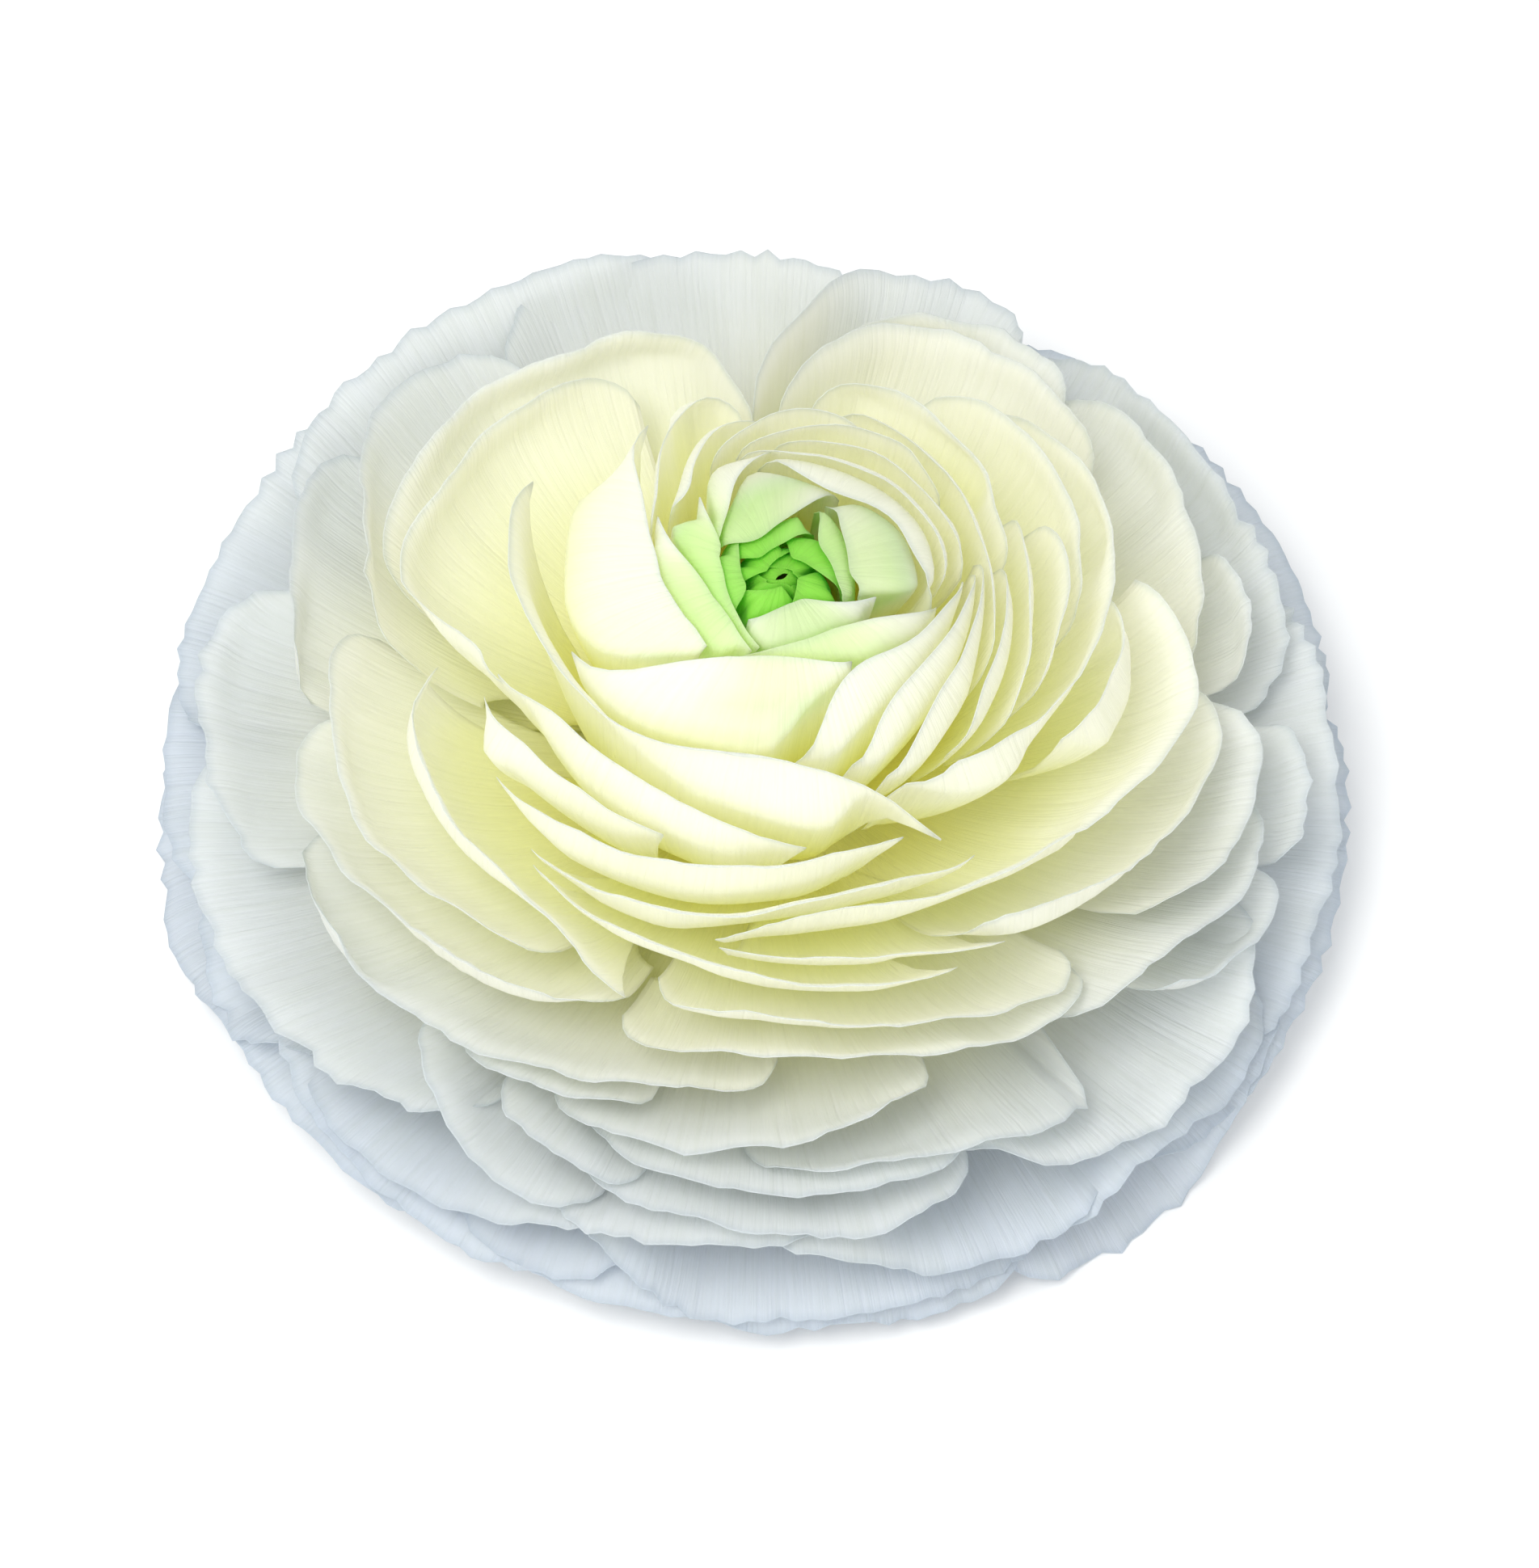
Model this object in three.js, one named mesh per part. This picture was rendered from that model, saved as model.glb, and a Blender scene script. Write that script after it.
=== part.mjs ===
// Cut ranunculus flower head, millimetres, +Z up, resting face up on its lowest petals.
import * as THREE from 'three';

const HEAD_RADIUS = 50.3; // how far the lowest petals reach from the axis
const HEAD_HEIGHT = 43.2; // top of the green eye above the surface
const PETAL_THICKNESS = 0.26;
const STACK_SHEET = 0.26; // sheet thickness the petal lines below are drawn for
const STACK_SHARE = 0.6; // how much of each thicker petal pushes the next ones out
const CLEARANCE = 0.35; // gap between a petal claw and the receptacle
const LEAN_SIDE = 1.7; // the crown leans this far to +X
const LEAN_FRONT = 2.4; // and the eye this far to -Y
const CORE_TOP = [2.0, 20.0]; // radius and height where the innermost petals start
const CORE_FOOT = [8.2, 7.6]; // radius and height where the outermost petals start
const STEM_RADIUS = 2.7;
const STEM_BORE = 1.3;
const STEM_CUT = 1.2; // height of the cut end above the surface
const BULGE_GAP = 0.9; // between a closed petal's belly and the rim outside it
const SEPAL_COUNT = 5;
const SEPAL_LENGTH = 13;
const SEPAL_WIDTH = 7;
const SEPAL_THICKNESS = 0.5;
const COLUMN_STEP = 12; // degrees between the facets of a petal
const ROWS = 6;

// One row per nested petal line, from the eye to the floor. "level" is the distance in mm
// from the crown along the dome of rims; the line runs from the core past bend and shoulder.
const LINES = [
  { level: 0, bend: [2.4, 28], shoulder: [4, 41.5], rim: [0, 43.2] },
  { level: 5, bend: [4, 27], shoulder: [7.5, 42], rim: [5, 43.2] },
  { level: 9, bend: [6, 25], shoulder: [11.5, 40.5], rim: [9, 42.6] },
  { level: 15.8, bend: [10, 21], shoulder: [17, 35], rim: [15, 39.5] },
  { level: 22.8, bend: [13, 17], shoulder: [21.5, 29], rim: [21, 35.8] },
  { level: 28.9, bend: [16, 14.8], shoulder: [25.5, 24], rim: [26, 32.4] },
  { level: 35, bend: [18, 13], shoulder: [29, 20], rim: [31, 28.8] },
  { level: 41.3, bend: [20, 11.6], shoulder: [32.5, 17], rim: [36, 25] },
  { level: 50.2, bend: [23, 9.6], shoulder: [37, 13.6], rim: [43, 19.5] },
  { level: 55.5, bend: [24, 8.2], shoulder: [39.5, 10.8], rim: [46.5, 15.5] },
  { level: 63, bend: [25, 6.4], shoulder: [42, 8], rim: [49, 8.5] },
  { level: 71.6, bend: [26, 4.8], shoulder: [43.5, 5.4], rim: [50.3, 0.3] },
];
const LAST_LEVEL = LINES[LINES.length - 1].level;

// Each petal's rim as [degrees from +X, level] pairs, innermost petal first.
const PETALS = [
  { name: 'eye_core', closed: 1, reach: 0.97, rim: [[-30, 1.4], [40, 0.5], [110, 0.3], [180, 0.5], [250, 1.4]] },
  { name: 'eye_right', closed: 1, reach: 1, rim: [[-20, 5.6], [0, 5.2], [42, 6.2], [60, 7]] },
  { name: 'eye_front', closed: 1, reach: 1, rim: [[238, 4.2], [262, 3], [289, 2.5], [318, 3.2], [344, 7]] },
  { name: 'eye_back', closed: 1, reach: 1, rim: [[60, 7.8], [77, 5.8], [102, 4], [150, 4]] },
  { name: 'bud_right', closed: 0.9, reach: 1, rim: [[-8, 12.4], [7, 11.2], [31, 10.8], [58, 9], [83, 9.3], [98, 9.4], [122, 8.6]] },
  { name: 'bud_left', closed: 1, reach: 1, rim: [[126, 6.4], [138, 5.6], [164, 4.7], [200, 4.4], [229, 5], [252, 6]] },
  { name: 'bud_back', closed: 0.4, reach: 1, rim: [[28, 15.8], [46, 17.4], [57, 18.2], [79, 15.8], [97, 13.2], [116, 12.4]] },
  { name: 'fan_back', reach: 1, rim: [[98.5, 19.5], [105, 21.5], [116, 19.5], [128, 15.5], [146, 11.4]] },
  { name: 'fan_left', closed: 0.6, reach: 1, rim: [[122, 22.3], [141, 15.2], [160, 11], [186, 9], [208, 8.2], [226, 8.4]] },
  { name: 'bud_front', closed: 0.9, reach: 1, rim: [[211, 15.5], [221, 11.5], [249, 7.9], [285, 7.9], [312, 9]] },
  { name: 'bud_side', closed: 0.9, reach: 1, rim: [[278, 14.8], [286, 12.2], [307, 10.2], [335, 12.2], [366, 15.2]] },
  { name: 'cup_back', reach: 1, rim: [[12, 20], [22, 20.6], [40, 22.5], [52, 23.2], [65, 25], [76, 23.6], [83, 21]] },
  { name: 'cup_right', reach: 1, rim: [[0, 26], [12, 27.5], [31, 30], [43, 30.8], [54, 31], [63, 27.8]] },
  {
    name: 'cup_lip_right', reach: 1,
    rim: [[-60, 20.5], [-46, 21.2], [-39, 22.3], [-15, 26.6], [0, 28.8], [15, 31.4], [33, 34], [57, 33.4]],
  },
  {
    name: 'cup_lip_left', closed: 0.35, reach: 1,
    rim: [[147, 26], [164, 23], [181, 20.3], [210, 17.8], [231, 16.9], [253, 15.6], [279, 16.6], [295, 19.9], [304, 26]],
  },
  { name: 'fold_front', closed: 0.6, reach: 1, rim: [[195, 24.6], [209, 21.6], [230, 20.5], [254, 21.2], [274, 23]] },
  { name: 'cup_left', reach: 1, rim: [[113, 34.5], [132, 34], [152, 33.8], [168, 33.8], [175, 30.3], [186, 25.2], [195, 22.4]] },
  { name: 'crescent_front', closed: 0.5, reach: 1, rim: [[211, 28.4], [228, 26.6], [245, 25.5], [276, 24.2], [286, 24], [297, 24.9]] },
  { name: 'skirt_back_inner', reach: 1, rim: [[40, 39], [58, 40.4], [66, 40], [76, 35.2], [82, 29.5], [89, 22.4]] },
  { name: 'band_front', closed: 0.4, reach: 1, rim: [[222, 30.6], [250, 29.2], [262, 28.9], [277, 27.4], [291, 27.2], [307, 29]] },
  {
    name: 'band_right', reach: 1,
    rim: [[260, 31.4], [272, 29.4], [284, 29], [298, 30.4], [310, 31.2], [327, 33.5], [345, 37], [358, 38.9], [372, 36]],
  },
  {
    name: 'skirt_back_left', reach: 1,
    rim: [[95, 20.5], [98, 27], [102, 32], [108, 35.8], [118, 37.6], [129, 39.8], [143, 39.2], [158, 38.5], [165, 36.6]],
  },
  {
    name: 'ruffle_right', reach: 1,
    rim: [[302, 33], [314, 35.8], [323, 38], [333, 40.3], [346, 42.2], [357, 42.2], [362, 40.6]],
  },
  { name: 'ruffle_front', reach: 1, rim: [[228, 31.8], [240, 32.2], [262, 33], [283, 35], [298, 37]] },
  {
    name: 'ruffle_left', reach: 1,
    rim: [[187, 29.4], [193, 32.2], [211, 33.2], [227, 33.6], [238, 35], [250, 37.6]],
  },
  { name: 'skirt_front_inner', reach: 1, rim: [[253, 35.6], [260, 36.8], [270, 37.2], [282, 38.7], [296, 40.7], [316, 42.8]] },
  { name: 'skirt_left_upper', reach: 1, rim: [[119, 50], [128, 53], [136, 51], [144, 47.3], [152, 42.8], [161, 39.5], [170, 37], [178, 33]] },
  { name: 'skirt_left', reach: 1, rim: [[169, 41], [178, 40.4], [191, 39.8], [208, 39.8], [215, 39], [227, 37.4], [236, 36.2]] },
  { name: 'skirt_right_back', reach: 1, rim: [[3, 41], [15, 42.4], [26, 44], [38, 45.6], [52, 46.4]] },
  { name: 'skirt_left_front', reach: 1, rim: [[182, 43.2], [192, 45], [199, 44.3], [210, 43], [231, 40.5], [247, 39]] },
  { name: 'skirt_front', reach: 1, rim: [[250, 39.6], [258, 40.2], [274, 40.6], [290, 42.2], [300, 43.6], [316, 45.2]] },
  { name: 'skirt_right_front', reach: 1, rim: [[325, 43.5], [333, 45.5], [344, 47], [356, 46.4], [364, 44.6]] },
  { name: 'skirt_back', reach: 1.02, rim: [[56, 50], [67, 54], [73, 51.6], [79, 47.8], [84, 41], [88, 33], [92, 25]] },
  { name: 'skirt_front_left', reach: 1, rim: [[196, 46.4], [207, 46.8], [218, 47.4], [233, 46.5], [248, 44.5], [264, 42.6], [271, 41.6]] },
  { name: 'skirt_side', reach: 1, rim: [[141, 52], [152, 50.3], [162, 47.2], [174, 44.4], [180, 43.8]] },
  { name: 'skirt_right', reach: 1, rim: [[308, 46.4], [321, 47], [331, 49], [339, 49.8], [349, 49.4]] },
  { name: 'skirt_front_mid', reach: 1, rim: [[243, 47.8], [256, 48.2], [270, 47.4], [278, 46.6], [285, 45], [293, 43.6]] },
  { name: 'outer_left', reach: 1, rim: [[161, 51], [167, 53.8], [176, 54.4], [187, 53], [198, 52.4]] },
  { name: 'outer_back', reach: 1.04, rim: [[78, 51.6], [88, 50.4], [94, 50.6], [101, 54.2], [110, 56], [122, 54.6]] },
  { name: 'outer_front_right', reach: 1, rim: [[268, 50], [282, 50.4], [298, 51.6], [306, 52.3], [310, 50]] },
  { name: 'outer_back_right', reach: 1, rim: [[2, 53], [16, 52.4], [30, 51.6], [45, 52], [60, 55.8]] },
  { name: 'outer_side_right', reach: 1, rim: [[296, 55.6], [305, 57.4], [313, 58.4], [324, 57.8], [333, 55.4]] },
  { name: 'outer_front', reach: 1, rim: [[247, 52.2], [260, 53.8], [270, 54.8], [283, 55.8], [294, 54]] },
  { name: 'outer_left_front', reach: 1, rim: [[225, 48.2], [231, 50.4], [239, 54.7], [246, 56], [255, 56.4]] },
  { name: 'outer_side_left', reach: 1, rim: [[184, 56.4], [198, 58.4], [208, 58], [220, 56.4], [234, 57]] },
  { name: 'hem_left_back', reach: 1.05, rim: [[120, 58], [136, 58.6], [150, 59.6], [160, 61.6], [170, 62.5]] },
  { name: 'hem_front_right', reach: 1, rim: [[272, 58.2], [282, 60], [290, 62.5], [299, 63.6], [306, 63]] },
  { name: 'hem_right', reach: 1, rim: [[325, 61.8], [338, 62.2], [348, 60], [358, 58.6], [374, 57]] },
  { name: 'hem_back', reach: 1, rim: [[40, 66.5], [56, 69.8], [75, 71.2], [94, 70], [112, 66.5]] },
  { name: 'hem_front_left', reach: 1, rim: [[214, 62], [224, 63], [238, 65.2], [248, 65.4], [258, 63.4]] },
  { name: 'hem_left', reach: 1, rim: [[174, 66.5], [184, 69.4], [194, 71.2], [203, 69.6], [212, 66.6]] },
  { name: 'hem_front', reach: 1, rim: [[256, 66], [264, 66.8], [272, 67.8], [284, 68.6], [294, 68.4]] },
  { name: 'hem_side_right', reach: 1, rim: [[292, 70.6], [302, 71.2], [310, 71.4], [318, 69.6], [330, 66.4]] },
];

const radians = degrees => degrees * Math.PI / 180;
const mix = (a, b, k) => a + (b - a) * k;
const clamp01 = x => Math.min(1, Math.max(0, x));
const smooth = x => clamp01(x) ** 2 * (3 - 2 * clamp01(x));

// The numbers above are for the nominal head; these two stretch them to the driving sizes.
const WIDE = HEAD_RADIUS / 50.3;
const TALL = HEAD_HEIGHT / 43.2;

function lineAt(level) {
  let i = 0;
  while (i < LINES.length - 2 && level > LINES[i + 1].level) i += 1;
  const a = LINES[i];
  const b = LINES[i + 1];
  const k = (level - a.level) / (b.level - a.level);
  const pair = key => [mix(a[key][0], b[key][0], k) * WIDE, mix(a[key][1], b[key][1], k) * TALL];
  const start = [0, 1].map(n => mix(CORE_TOP[n], CORE_FOOT[n], level / LAST_LEVEL));
  start[1] *= TALL;
  return [start, pair('bend'), pair('shoulder'), pair('rim')];
}

// A point of the nested surfaces: level picks the petal line, v runs from the core (0) to the rim (1).
function petalPoint(level, degrees, v, stack) {
  const p = lineAt(level);
  const at = n => {
    if (v > 1) return p[3][n] + (p[3][n] - p[2][n]) * 3 * (v - 1);
    const u = 1 - v;
    return u * u * u * p[0][n] + 3 * u * u * v * p[1][n] + 3 * u * v * v * p[2][n] + v * v * v * p[3][n];
  };
  const radius = at(0) + (v < 1 ? CLEARANCE * (1 - v) : 0) + stack;
  const height = at(1);
  const lift = clamp01(height / HEAD_HEIGHT);
  const turn = radians(degrees);
  return new THREE.Vector3(
    radius * Math.cos(turn) + LEAN_SIDE * lift ** 2,
    radius * Math.sin(turn) - LEAN_FRONT * lift ** 8,
    height,
  );
}

function rimLevel(rim, degrees) {
  let i = 0;
  while (i < rim.length - 2 && degrees > rim[i + 1][0]) i += 1;
  const k = clamp01((degrees - rim[i][0]) / (rim[i + 1][0] - rim[i][0]));
  return mix(rim[i][1], rim[i + 1][1], k);
}

// The lowest rim outside a petal near this angle: a closed petal bulges out as far as that.
function coverLevel(index, degrees) {
  const lowest = at => Math.min(...PETALS.slice(index + 1).map(({ rim }) => {
    const turn = ((at - rim[0][0]) % 360 + 360) % 360 + rim[0][0];
    return turn <= rim[rim.length - 1][0] ? rimLevel(rim, turn) : 99;
  }));
  const near = [-12, -8, -4, 0, 4, 8, 12].map(d => Math.min(lowest(degrees + d - 6), lowest(degrees + d), lowest(degrees + d + 6)));
  return near.reduce((sum, level) => sum + level, 0) / near.length;
}

// A closed thin sheet from a grid of points: grid[column][row], thickened along its normals.
function sheet(grid, thickness) {
  const cols = grid.length;
  const rows = grid[0].length;
  const normalAt = (c, r) => {
    const along = grid[Math.min(c + 1, cols - 1)][r].clone().sub(grid[Math.max(c - 1, 0)][r]);
    const up = grid[c][Math.min(r + 1, rows - 1)].clone().sub(grid[c][Math.max(r - 1, 0)]);
    return along.cross(up).normalize();
  };
  const points = [];
  for (const side of [1, -1]) {
    for (let c = 0; c < cols; c += 1) {
      for (let r = 0; r < rows; r += 1) {
        points.push(grid[c][r].clone().addScaledVector(normalAt(c, r), side * thickness / 2));
      }
    }
  }
  const back = cols * rows;
  const id = (c, r) => c * rows + r;
  const faces = [];
  const quad = (a, b, c, d) => faces.push(a, b, c, a, c, d);
  for (let c = 0; c < cols - 1; c += 1) {
    for (let r = 0; r < rows - 1; r += 1) {
      const [a, b, e, f] = [id(c, r), id(c + 1, r), id(c + 1, r + 1), id(c, r + 1)];
      faces.push(a, b, e, a, e, f);
      faces.push(back + a, back + e, back + b, back + a, back + f, back + e);
    }
  }
  for (let c = 0; c < cols - 1; c += 1) {
    quad(id(c + 1, 0), id(c, 0), back + id(c, 0), back + id(c + 1, 0));
    quad(id(c, rows - 1), id(c + 1, rows - 1), back + id(c + 1, rows - 1), back + id(c, rows - 1));
  }
  for (let r = 0; r < rows - 1; r += 1) {
    quad(id(0, r), id(0, r + 1), back + id(0, r + 1), back + id(0, r));
    quad(id(cols - 1, r + 1), id(cols - 1, r), back + id(cols - 1, r), back + id(cols - 1, r + 1));
  }
  const geometry = new THREE.BufferGeometry();
  geometry.setAttribute('position', new THREE.Float32BufferAttribute(points.flatMap(p => [p.x, p.y, p.z]), 3));
  geometry.setIndex(faces);
  return geometry;
}

// How far thicker petals push the petal at this place outward; the receptacle grows with them.
function stackPush(index) {
  return STACK_SHARE * index * (PETAL_THICKNESS - STACK_SHEET);
}

function petalGeometry(petal, index) {
  const first = petal.rim[0][0];
  const last = petal.rim[petal.rim.length - 1][0];
  const small = petal.rim[1][1] < 8;
  const step = small ? COLUMN_STEP * 1.6 : COLUMN_STEP;
  const columns = Math.max(4, Math.round((last - first) / step));
  const rows = petal.closed ? ROWS + 2 : ROWS;
  const coreLevel = LAST_LEVEL * (index + 0.5) / PETALS.length;
  const stack = stackPush(index);
  const grid = [];
  for (let c = 0; c <= columns; c += 1) {
    const across = 2 * c / columns - 1;
    const degrees = mix(first, last, c / columns);
    const low = 0.5 * smooth((Math.abs(across) - 0.3) / 0.7); // sides narrow to the claw
    const high = petal.reach - 0.14 * Math.abs(across) ** 4; // rounded upper corners
    const level = rimLevel(petal.rim, degrees);
    const room = petal.closed ? Math.min(8, Math.max(0, coverLevel(index, degrees) - BULGE_GAP - level)) : 0;
    const column = [];
    for (let r = 0; r <= rows; r += 1) {
      const v = mix(low, high, petal.closed ? 1 - (1 - r / rows) ** 1.5 : r / rows);
      const belly = level + (petal.closed || 0) * room * smooth((1 - v) / 0.13);
      column.push(petalPoint(mix(coreLevel, belly, smooth(v / 0.85)), degrees, v, stack));
    }
    grid.push(column);
  }
  return sheet(grid, PETAL_THICKNESS);
}

// A turned solid from radius/height pairs, listed so that the closed outline runs upward outside.
function turned(outline, segments) {
  const geometry = new THREE.LatheGeometry(outline.map(([r, z]) => new THREE.Vector2(r, z)), segments);
  geometry.rotateX(Math.PI / 2);
  return geometry;
}

function sepalGeometry(index) {
  const heading = 90 + 360 * (index + 0.5) / SEPAL_COUNT;
  const foot = CORE_FOOT[0] - 3.2;
  const grid = [];
  for (let c = 0; c <= 4; c += 1) {
    const across = c / 2 - 1;
    const column = [];
    for (let r = 0; r <= 5; r += 1) {
      const k = r / 5;
      const half = SEPAL_WIDTH / 2 * (0.45 + 0.55 * Math.sin(Math.PI * Math.min(1, 0.15 + k) ** 1.1)) * (1 - 0.55 * k ** 4);
      const radius = foot + SEPAL_LENGTH * k;
      const height = (CORE_FOOT[1] - 2.1 - 1.6 * k - 1.5 * k * k + 0.25 * across * across) * TALL;
      column.push(new THREE.Vector3(radius, across * half, height));
    }
    grid.push(column);
  }
  const geometry = sheet(grid.reverse(), SEPAL_THICKNESS);
  geometry.rotateZ(radians(heading));
  return geometry;
}

function receptacleGeometry() {
  const [topR, topZ] = CORE_TOP;
  const [footR, footZ] = CORE_FOOT;
  const push = stackPush(PETALS.length - 1);
  return turned([
    [0, (footZ - 1.2) * TALL],
    [footR - 3.4, (footZ - 1.2) * TALL],
    [footR - 0.9 + push, (footZ - 0.2) * TALL],
    [mix(footR, topR, 0.5) - 0.3 + push / 2, mix(footZ, topZ, 0.5) * TALL],
    [topR - 0.3, (topZ - 0.1) * TALL],
    [0, (topZ + 0.9) * TALL],
  ], 20);
}

function stemGeometry() {
  const top = (CORE_FOOT[1] - 1.6) * TALL;
  return turned([
    [0, top - 2.2],
    [STEM_BORE, top - 2.2],
    [STEM_BORE, STEM_CUT],
    [STEM_RADIUS, STEM_CUT],
    [STEM_RADIUS, top - 2],
    [STEM_RADIUS + 0.5, top],
    [0, top],
  ], 20);
}

const part = new THREE.Group();
function add(name, geometry, colour) {
  const mesh = new THREE.Mesh(geometry, new THREE.MeshStandardMaterial({ color: colour, side: THREE.DoubleSide }));
  mesh.name = name;
  part.add(mesh);
}

add('stem_stub', stemGeometry(), 0x8fb25a);
add('receptacle', receptacleGeometry(), 0xb9d98a);
for (let i = 0; i < SEPAL_COUNT; i += 1) add(`sepal_${i + 1}`, sepalGeometry(i), 0x86a94e);
PETALS.forEach((petal, index) => {
  const green = petal.name.startsWith('eye');
  add(`petal_${petal.name}`, petalGeometry(petal, index), green ? 0xb6ee7a : 0xf3f4ea);
});

// Origin: middle of the footprint, on the surface the head rests on.
part.updateMatrixWorld(true);
const box = new THREE.Box3().setFromObject(part, true);
const middle = box.getCenter(new THREE.Vector3());
for (const mesh of part.children) mesh.geometry.translate(-middle.x, -middle.y, -box.min.z);

export default part;
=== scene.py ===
import math
import random

import bpy
import numpy as np
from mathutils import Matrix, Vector


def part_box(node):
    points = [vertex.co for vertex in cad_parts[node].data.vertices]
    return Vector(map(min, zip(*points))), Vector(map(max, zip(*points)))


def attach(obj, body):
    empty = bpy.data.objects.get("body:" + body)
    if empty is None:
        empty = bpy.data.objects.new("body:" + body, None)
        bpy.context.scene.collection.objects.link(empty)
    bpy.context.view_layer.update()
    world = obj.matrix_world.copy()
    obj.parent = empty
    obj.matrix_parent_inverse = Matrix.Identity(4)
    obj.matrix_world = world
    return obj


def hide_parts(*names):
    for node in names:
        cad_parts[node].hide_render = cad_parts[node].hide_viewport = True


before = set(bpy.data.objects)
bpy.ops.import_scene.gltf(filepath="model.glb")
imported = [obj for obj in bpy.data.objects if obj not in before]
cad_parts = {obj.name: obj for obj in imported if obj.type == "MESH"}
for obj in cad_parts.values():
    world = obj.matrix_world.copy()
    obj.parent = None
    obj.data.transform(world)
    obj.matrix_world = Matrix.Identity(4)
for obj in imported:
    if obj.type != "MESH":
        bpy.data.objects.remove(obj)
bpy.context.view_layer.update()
scene = bpy.context.scene
scene.view_settings.view_transform = "Standard"
scene.cycles.max_bounces = 24  # pale petals pass light on many times
scene.cycles.diffuse_bounces = 16
scene.cycles.transmission_bounces = 16
mm = 0.001

head = {
    "crownHeight": 43.2,  # top of the eye above the axis foot
    "leanSide": 1.7,  # the crown leans to +X
    "leanFront": 2.4,  # the eye leans to -Y
    "coreTop": (2.0, 20.0),  # radius and height where the inner petals start
    "coreFoot": (8.2, 7.6),  # and where the outer ones start
    "stemCut": 1.2,
    "thickness": 0.24,
    "rimThickness": 0.05,
}

# nested petal lines: distance from the crown along the dome, then bend, shoulder and rim as (radius, height)
petalLines = [
    (0, (2.4, 28), (4, 41.5), (0, 43.2)),
    (5, (4, 27), (7.5, 42), (5, 43.2)),
    (9, (6, 25), (11.5, 40.5), (9, 42.6)),
    (15.8, (10, 21), (17, 35), (15, 39.5)),
    (22.8, (13, 17), (21.5, 29), (21, 35.8)),
    (28.9, (16, 14.8), (25.5, 24), (26, 32.4)),
    (35, (18, 13), (29, 20), (31, 28.8)),
    (41.3, (20, 11.6), (32.5, 17), (36, 25)),
    (50.2, (23, 9.6), (37, 13.6), (43, 19.5)),
    (55.5, (24, 8.2), (39.5, 10.8), (46.5, 15.5)),
    (63, (25, 6.4), (42, 8), (49, 8.5)),
    (71.6, (26, 4.8), (43.5, 5.4), (50.3, 0.3)),
]
lineLevels = np.array([row[0] for row in petalLines], float)
lineTable = np.array([[*row[1], *row[2], *row[3]] for row in petalLines], float)
lastLevel = lineLevels[-1]

stubLow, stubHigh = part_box("stem_stub")
axisX = (stubLow[0] + stubHigh[0]) / 2 / mm
axisY = (stubLow[1] + stubHigh[1]) / 2 / mm
axisZ = stubLow[2] / mm - head["stemCut"]


def smooth(x):
    x = np.clip(x, 0, 1)
    return x * x * (3 - 2 * x)


# point on the nested surfaces, vectorised, in mm
def petalPoint(level, degrees, v):
    table = [np.interp(level, lineLevels, lineTable[:, n]) for n in range(6)]
    k = np.asarray(level, float) / lastLevel
    start = [head["coreTop"][n] + (head["coreFoot"][n] - head["coreTop"][n]) * k for n in range(2)]
    out = []
    for n in range(2):
        p0, p1, p2, p3 = start[n], table[n], table[2 + n], table[4 + n]
        w = np.minimum(v, 1)
        u = 1 - w
        inside = u**3 * p0 + 3 * u * u * w * p1 + 3 * u * w * w * p2 + w**3 * p3
        out.append(inside + (p3 - p2) * 3 * np.maximum(v - 1, 0))
    radius, height = out
    radius = radius + 0.35 * (1 - np.minimum(v, 1))
    lift = np.clip(height / head["crownHeight"], 0, 1.05)
    turn = np.radians(degrees)
    return np.stack([
        radius * np.cos(turn) + head["leanSide"] * lift**2 + axisX,
        radius * np.sin(turn) - head["leanFront"] * lift**8 + axisY,
        height + axisZ,
    ], -1)


# smooth curve through the rim's (degrees, level) pairs
def rimLevel(rim, degrees):
    x = np.array([p[0] for p in rim], float)
    y = np.array([p[1] for p in rim], float)
    slope = np.gradient(y, x)
    i = np.clip(np.searchsorted(x, degrees, side="right") - 1, 0, len(x) - 2)
    h = x[i + 1] - x[i]
    t = np.clip((degrees - x[i]) / h, 0, 1)
    a = 2 * t**3 - 3 * t**2 + 1
    b = t**3 - 2 * t**2 + t
    c = -2 * t**3 + 3 * t**2
    d = t**3 - t**2
    return a * y[i] + b * h * slope[i] + c * y[i + 1] + d * h * slope[i + 1]


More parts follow.
